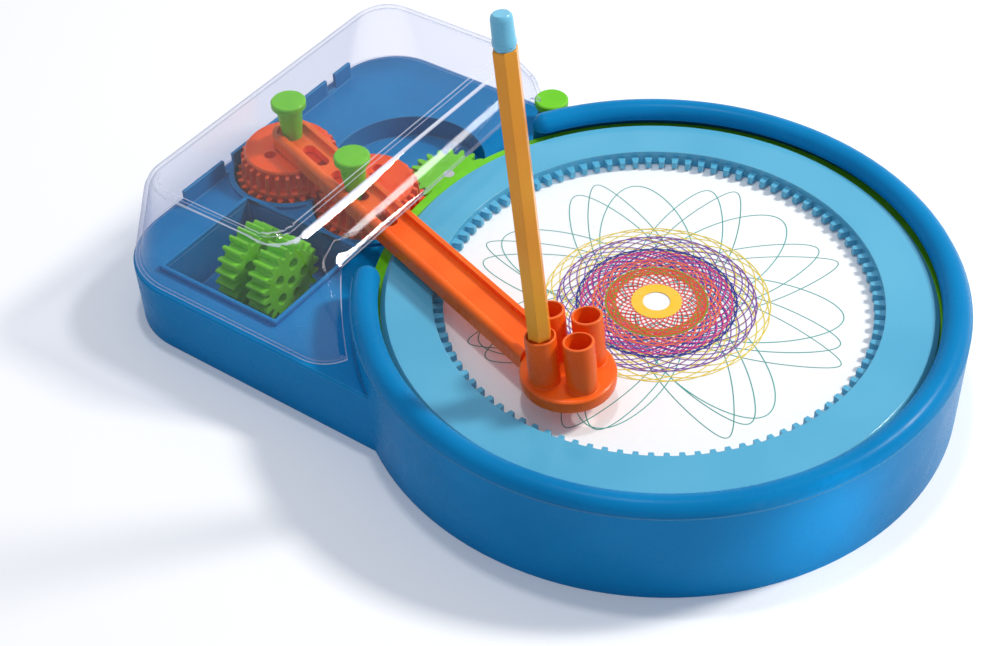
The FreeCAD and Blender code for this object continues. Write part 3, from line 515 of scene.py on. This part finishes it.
TEETH_TOP = 25.4
DISC_FOOT = 25.42
DISC_TOP = 36.0
DISC_PROFILE = ((0.0, DISC_FOOT), (17.8, DISC_FOOT), (18.2, 25.8), (18.3, 26.4), (18.2, 27.1),
                (17.8, 27.5), (15.6, 27.7), (14.9, 28.6), (14.6, 31.0), (15.0, 33.6), (16.1, 34.5),
                (16.3, 35.0), (16.2, 35.4), (15.7, DISC_TOP), (0.0, DISC_TOP))
HOLE_PITCH = 5.3
HOLE_STATIONS = (-2.0, -0.5, 0.5, 1.5)
HOLE_RADIUS = 2.16
HOLE_FLOOR = 31.4
FRONT_ROW_DEGREES = 103.8
REAR_ROW_DEGREES = -105.0

RIB_COUNT = 28
RIB_RADIUS = 16.15
RIB_DEPTH = 3.5
RIB_THICKNESS = 1.35
RIB_HEIGHT = 7.8
RIB_LEAN = -0.6
RIB_FALL = 1.3
RIB_MIDDLE = 31.2


def rib_tree():
    """Upright ribs in a ring, further in at the top, where their outer corners fall off."""
    tree, given = open_group("crown_ribs", (
        ("Count", "Int"), ("Radius", "Float"), ("Depth", "Float"), ("Thickness", "Float"),
        ("Height", "Float"), ("Lean", "Float"), ("Fall", "Float"), ("Centre", "Vector"),
        ("Finish", "Material")))
    size = add_node(tree, "ShaderNodeCombineXYZ", {"X": given["Depth"], "Y": given["Thickness"],
                                                   "Z": given["Height"]})
    rib = add_node(tree, "GeometryNodeMeshCube", {"Size": size.outputs[0]})
    place = add_node(tree, "GeometryNodeInputPosition")
    parts = add_node(tree, "ShaderNodeSeparateXYZ", {0: place.outputs[0]}).outputs
    share = calc(tree, "DIVIDE", parts["Z"], given["Height"])
    inward = calc(tree, "MULTIPLY", share, given["Lean"])
    corner = calc(tree, "MULTIPLY", calc(tree, "GREATER_THAN", parts["Z"]),
                  calc(tree, "GREATER_THAN", parts["X"]))
    sunk = calc(tree, "MULTIPLY", calc(tree, "MULTIPLY", corner, given["Fall"]), -1.0)
    shift = add_node(tree, "ShaderNodeCombineXYZ", {"X": inward, "Z": sunk})
    leaning = add_node(tree, "GeometryNodeSetPosition", {"Geometry": rib.outputs["Mesh"],
                                                         "Offset": shift.outputs[0]})
    ring = add_node(tree, "GeometryNodeMeshCircle", {"Vertices": given["Count"],
                                                     "Radius": given["Radius"]})
    outward = add_node(tree, "GeometryNodeInputPosition")
    turn = add_node(tree, "FunctionNodeAlignRotationToVector", {"Vector": outward.outputs[0]},
                    axis="X")
    placed = add_node(tree, "GeometryNodeInstanceOnPoints", {
        "Points": ring.outputs["Mesh"], "Instance": leaning.outputs[0], "Rotation": turn.outputs[0]})
    moved = add_node(tree, "GeometryNodeTranslateInstances", {
        "Instances": placed.outputs[0], "Translation": given["Centre"], "Local Space": False})
    close_group(tree, moved.outputs[0], given["Finish"])
    return tree


def make_toothed_wheel(name, node_name):
    """The spur gear of a disc gear's solid, cut off level above its teeth."""
    shell = solid_shell(node_name)
    everything = shell.verts[:] + shell.edges[:] + shell.faces[:]
    bmesh.ops.bisect_plane(shell, geom=everything, plane_co=(0.0, 0.0, TEETH_TOP * MM),
                           plane_no=UP, clear_outer=True)
    open_edges = [edge for edge in shell.edges if edge.is_boundary]
    bmesh.ops.holes_fill(shell, edges=open_edges, sides=0)
    return finished(name, shell, red_acetal, soft_degrees=25.0)


def make_crown_disc(label, base, row_degrees):
    """The turned disc with its row of holes for the crank pin."""
    shell = bmesh.new()
    turned_shell(shell, DISC_PROFILE, base)
    disc = finished(label + "_crown_disc", shell, red_acetal, soft_degrees=40.0)
    holes = bmesh.new()
    row = Vector((math.cos(math.radians(row_degrees)), math.sin(math.radians(row_degrees)), 0.0))
    hole = ((0.0, HOLE_FLOOR), (HOLE_RADIUS, HOLE_FLOOR), (HOLE_RADIUS, DISC_TOP + 1.0),
            (0.0, DISC_TOP + 1.0))
    for station in HOLE_STATIONS:
        turned_shell(holes, hole, base + row * (station * HOLE_PITCH * MM), steps=28)
    carve(disc, finished(label + "_holes", holes, red_acetal))
    return disc


def make_disc_gear(label, node_name, joint_name, body, row_degrees, tree):
    centre = joint_place(joint_name)
    base = Vector((centre.x, centre.y, 0.0))
    wheel = make_toothed_wheel(label + "_toothed_wheel", node_name)
    disc = make_crown_disc(label, base, row_degrees)
    ribs = made_by_nodes(label + "_crown_ribs", tree, {
        "Count": RIB_COUNT, "Radius": RIB_RADIUS * MM, "Depth": RIB_DEPTH * MM,
        "Thickness": RIB_THICKNESS * MM, "Height": RIB_HEIGHT * MM, "Lean": RIB_LEAN * MM,
        "Fall": RIB_FALL * MM, "Centre": base + Vector((0.0, 0.0, RIB_MIDDLE * MM)),
        "Finish": red_acetal})
    for piece in (wheel, disc, ribs):
        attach(piece, body)
        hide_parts(node_name)


# Lid: the clear moulding, smooth over its rounded corners

def make_lid():
    lid = finished("clear_lid_moulding", solid_shell("lid"), clear_lid, soft_degrees=33.0)
    modifier = lid.modifiers.new("flat_walls", "WEIGHTED_NORMAL")
    modifier.keep_sharp = True
    keep_result(lid, modifier)
    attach(lid, "lid_body")
    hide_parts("lid")


# Rim round the storage recess, a little above the deck

RECESS = (-154.6, -104.0, -75.7, -31.6)
RIM_THICKNESS = 1.5
RIM_EDGE = 0.45
RIM_FOOT = 24.2
RIM_TOP = 26.5


def make_recess_rim():
    x_low, x_high, y_low, y_high = RECESS
    shell = bmesh.new()
    loops = []
    for spread, height in ((0.0, RIM_FOOT), (0.0, RIM_TOP), (RIM_THICKNESS, RIM_TOP),
                           (RIM_THICKNESS, RIM_FOOT)):
        corners = ((x_low - spread, y_low - spread), (x_high + spread, y_low - spread),
                   (x_high + spread, y_high + spread), (x_low - spread, y_high + spread))
        loops.append([shell.verts.new(at_mm(x, y, height)) for x, y in corners])
    for index, loop in enumerate(loops):
        after = loops[(index + 1) % len(loops)]
        for corner in range(4):
            following = (corner + 1) % 4
            shell.faces.new((loop[corner], loop[following], after[following], after[corner]))
    bmesh.ops.recalc_face_normals(shell, faces=shell.faces)
    bmesh.ops.bevel(shell, geom=shell.edges[:], offset=RIM_EDGE * MM, segments=3, affect="EDGES",
                    profile=0.5)
    rim = finished("recess_rim", shell, blue_abs, soft_degrees=50.0)
    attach(rim, "base")


# Pen holder: a round foot with a rounded rim, and four leaning sleeves for pens

RAKE = (-0.124224, 0.04007, 0.991445)
ARM_DEGREES = -17.88
HOLDER = (-0.12, -53.47)
FOOT_BOTTOM = 36.3
FOOT_TOP = 40.9
FOOT_PROFILE = ((0.0, FOOT_BOTTOM), (14.9, FOOT_BOTTOM), (15.35, 36.6), (15.4, 37.2), (15.4, 39.7),
                (15.2, 40.4), (14.7, 40.8), (14.1, FOOT_TOP), (0.0, FOOT_TOP))
SLEEVES = 4
SLEEVE_TOP = 57.8
SLEEVE_OFFSET = 8.5
SLEEVE_TURN = -6.5
SLEEVE_RADIUS = 5.0
SLEEVE_EDGE = 0.25
SLEEVE_ROOT = -3.6
BORE_RADIUS = 4.2
BORE_ROOT = -9.0
BORE_PAST_TOP = 4.0
PEN_SLEEVE = 3


def sleeve_foot(number):
    """Where a sleeve's axis meets the foot's top face."""
    angle = math.radians(ARM_DEGREES + SLEEVE_TURN + 360.0 / SLEEVES * number)
    return at_mm(HOLDER[0] + SLEEVE_OFFSET * math.cos(angle),
                 HOLDER[1] + SLEEVE_OFFSET * math.sin(angle), FOOT_TOP)


def make_pen_holder():
    rise = (SLEEVE_TOP - FOOT_TOP) / RAKE[2]
    tube = ((0.0, SLEEVE_ROOT), (SLEEVE_RADIUS, SLEEVE_ROOT), (SLEEVE_RADIUS, rise - SLEEVE_EDGE),
            (SLEEVE_RADIUS - SLEEVE_EDGE, rise), (0.0, rise))
    bore = ((0.0, BORE_ROOT), (BORE_RADIUS, BORE_ROOT), (BORE_RADIUS, rise + BORE_PAST_TOP),
            (0.0, rise + BORE_PAST_TOP))
    foot = bmesh.new()
    turned_shell(foot, FOOT_PROFILE, at_mm(HOLDER[0], HOLDER[1], 0.0), steps=96)
    holder = finished("pen_holder_foot_and_sleeves", foot, orange_abs, soft_degrees=40.0)
    for name, profile, operation in (("sleeve", tube, "UNION"), ("bore", bore, "DIFFERENCE")):
        for number in range(SLEEVES):
            shell = bmesh.new()
            turned_shell(shell, profile, sleeve_foot(number), RAKE, steps=48)
            carve(holder, finished(name, shell, orange_abs), operation)
    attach(holder, "arm_body")
    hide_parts("pen_holder")


# Pen: a slim hexagonal barrel, a round plug, a tapered nose and a nib

PEN_CORNER = 3.85
PEN_FLAT = PEN_CORNER * math.cos(math.radians(30.0))
PEN_LENGTH = 139.0
PLUG_LENGTH = 10.5
NOSE_LENGTH = 14.0
NIB_LENGTH = 3.0
NIB_HEIGHT = 28.6
NOSE_END = NIB_LENGTH + NOSE_LENGTH
BARREL_END = PEN_LENGTH - PLUG_LENGTH

BARREL_PROFILE = ((0.0, NOSE_END), (PEN_CORNER - 0.2, NOSE_END), (PEN_CORNER, NOSE_END + 0.4),
                  (PEN_CORNER, BARREL_END - 0.3), (PEN_CORNER - 0.25, BARREL_END), (0.0, BARREL_END))
PLUG_PROFILE = ((0.0, BARREL_END), (3.1, BARREL_END), (3.1, BARREL_END + 1.0),
                (3.45, BARREL_END + 1.2), (3.5, BARREL_END + 2.4), (3.3, BARREL_END + 2.8),
                (3.2, PEN_LENGTH - 1.6), (3.0, PEN_LENGTH - 0.6), (2.4, PEN_LENGTH), (0.0, PEN_LENGTH))
NOSE_PROFILE = ((0.0, NIB_LENGTH), (1.2, NIB_LENGTH), (1.35, NIB_LENGTH + 3.0),
                (PEN_FLAT - 0.3, NOSE_END - 1.2), (PEN_FLAT - 0.1, NOSE_END), (0.0, NOSE_END))
NIB_PROFILE = ((0.0, 0.0), (0.3, 0.05), (0.5, 0.3), (0.8, NIB_LENGTH), (0.0, NIB_LENGTH))


def pen_point():
    foot = sleeve_foot(PEN_SLEEVE)
    slant = Vector(RAKE).normalized()
    return foot + slant * ((NIB_HEIGHT * MM - foot.z) / slant.z)


def make_pen_piece(name, node_name, material, profile, steps, soft_degrees):
    shell = bmesh.new()
    turned_shell(shell, profile, pen_point(), RAKE, steps=steps)
    piece = finished(name, shell, material, soft_degrees)
    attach(piece, "pen_body")
    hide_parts(node_name)


def make_pen():
    make_pen_piece("pen_hexagonal_barrel", "pen_barrel", amber_styrene, BARREL_PROFILE,
                   steps=6, soft_degrees=20.0)
    make_pen_piece("pen_round_plug", "pen_end_plug", sky_styrene, PLUG_PROFILE,
                   steps=48, soft_degrees=40.0)
    make_pen_piece("pen_tapered_nose", "pen_nose", grey_nylon, NOSE_PROFILE,
                   steps=40, soft_degrees=40.0)
    make_pen_piece("pen_nib", "pen_tip", steel, NIB_PROFILE, steps=24, soft_degrees=40.0)


# The drawing on the paper: each line lies a little above the one before, and climbs as it goes

LINE_WIDTH = 0.34
BAND_WIDTH = 3.9
FIRST_LIFT = 0.03
NEXT_LIFT = 0.022
CLIMB = 0.02

# name, colour, turns, lobes, middle mm, swing mm, sway, phase, points. No lobes makes a plain band.
ROSETTES = (
    ("teal_petals", "2F958C", 3, 8, 38.0, 27.5, -0.28, 0.10, 1200),
    ("teal_petals_second", "379E95", 3, 8, 37.0, 25.5, -0.25, 0.24, 1200),
    ("teal_petals_third", "44A79D", 3, 7, 36.0, 26.0, -0.22, 0.45, 1200),
    ("yellow_fringe", "E6CC22", 11, 24, 31.5, 6.5, 0.0, 0.0, 1500),
    ("purple_loops", "7A3FA2", 13, 30, 27.0, 6.5, 0.0, 0.05, 1800),
    ("navy_loops", "22308A", 13, 36, 22.5, 4.5, 0.0, 0.0, 1800),
    ("magenta_loops", "D42A80", 11, 32, 20.0, 5.5, 0.0, 0.07, 1800),
    ("orange_loops", "EE6A1E", 9, 26, 17.5, 4.0, 0.0, 0.02, 1400),
    ("olive_ring", "7E9414", 7, 40, 15.6, 1.6, 0.0, 0.0, 1600),
    ("red_star", "E02A24", 13, 31, 11.4, 5.2, 0.0, 0.0, 1800),
    ("yellow_centre", "FFC61C", 1, 0, 6.55, 0.0, 0.0, 0.0, 160),
)


def rosette_tree():
    """Ribbon along r = middle + swing * cos(wave), while the arm sways the line by sway * sin(wave)."""
    tree, given = open_group("pen_rosette", (
        ("Turns", "Float"), ("Lobes", "Float"), ("Middle", "Float"), ("Swing", "Float"),
        ("Sway", "Float"), ("Phase", "Float"), ("Height", "Float"), ("Line Width", "Float"),
        ("Points", "Int"), ("Ink", "Material")))
    line = add_node(tree, "GeometryNodeCurvePrimitiveLine")
    spaced = add_node(tree, "GeometryNodeResampleCurve", {"Curve": line.outputs[0],
                                                          "Count": given["Points"]})
    share = add_node(tree, "GeometryNodeSplineParameter").outputs["Factor"]
    angle = calc(tree, "MULTIPLY", share, calc(tree, "MULTIPLY", given["Turns"], math.tau))
    wave = calc(tree, "MULTIPLY", share, calc(tree, "MULTIPLY", given["Lobes"], math.tau))
    swing = calc(tree, "MULTIPLY", given["Swing"], calc(tree, "COSINE", wave))
    sway = calc(tree, "MULTIPLY", given["Sway"], calc(tree, "SINE", wave))
    radius = calc(tree, "ADD", given["Middle"], swing)
    turned = calc(tree, "ADD", calc(tree, "ADD", angle, given["Phase"]), sway)
    point = add_node(tree, "ShaderNodeCombineXYZ", {
        "X": calc(tree, "MULTIPLY", radius, calc(tree, "COSINE", turned)),
        "Y": calc(tree, "MULTIPLY", radius, calc(tree, "SINE", turned)),
        "Z": calc(tree, "ADD", given["Height"], calc(tree, "MULTIPLY", share, CLIMB * MM))})
    placed = add_node(tree, "GeometryNodeSetPosition", {"Geometry": spaced.outputs[0],
                                                        "Position": point.outputs[0]})
    level = add_node(tree, "GeometryNodeSetCurveNormal", {"Curve": placed.outputs[0]}, mode="Z_UP")
    half = calc(tree, "MULTIPLY", given["Line Width"], 0.5)
    start = add_node(tree, "ShaderNodeCombineXYZ", {"X": calc(tree, "MULTIPLY", half, -1.0)})
    end = add_node(tree, "ShaderNodeCombineXYZ", {"X": half})
    nib = add_node(tree, "GeometryNodeCurvePrimitiveLine", {"Start": start.outputs[0],
                                                            "End": end.outputs[0]})
    ribbon = add_node(tree, "GeometryNodeCurveToMesh", {"Curve": level.outputs[0],
                                                        "Profile Curve": nib.outputs[0]})
    close_group(tree, ribbon.outputs[0], given["Ink"])
    return tree


def draw_rosettes():
    paper_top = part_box("paper_sheet")[1].z
    tree = rosette_tree()
    for index, (name, colour, turns, lobes, middle, swing, sway, phase, points) in enumerate(ROSETTES):
        lift = FIRST_LIFT + NEXT_LIFT * index
        width = LINE_WIDTH if lobes else BAND_WIDTH
        drawn = made_by_nodes(name, tree, {
            "Turns": float(turns), "Lobes": float(lobes), "Middle": middle * MM, "Swing": swing * MM,
            "Sway": sway, "Phase": phase, "Height": paper_top + lift * MM, "Line Width": width * MM,
            "Points": points, "Ink": ink(name + "_felt_tip_ink", colour)})
        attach(drawn, "turntable_body")


place_camera()
lay_floor()
light_world()
light_studio()
bpy.context.scene.view_settings.view_transform = "Standard"
finish_nodes()
crown = rib_tree()
make_disc_gear("front", "front_disc_gear", "front_disc_spin", "front_disc_body", FRONT_ROW_DEGREES,
               crown)
make_disc_gear("rear", "rear_disc_gear", "rear_disc_spin", "rear_disc_body", REAR_ROW_DEGREES, crown)
make_lid()
make_recess_rim()
make_pen_holder()
make_pen()
draw_rosettes()
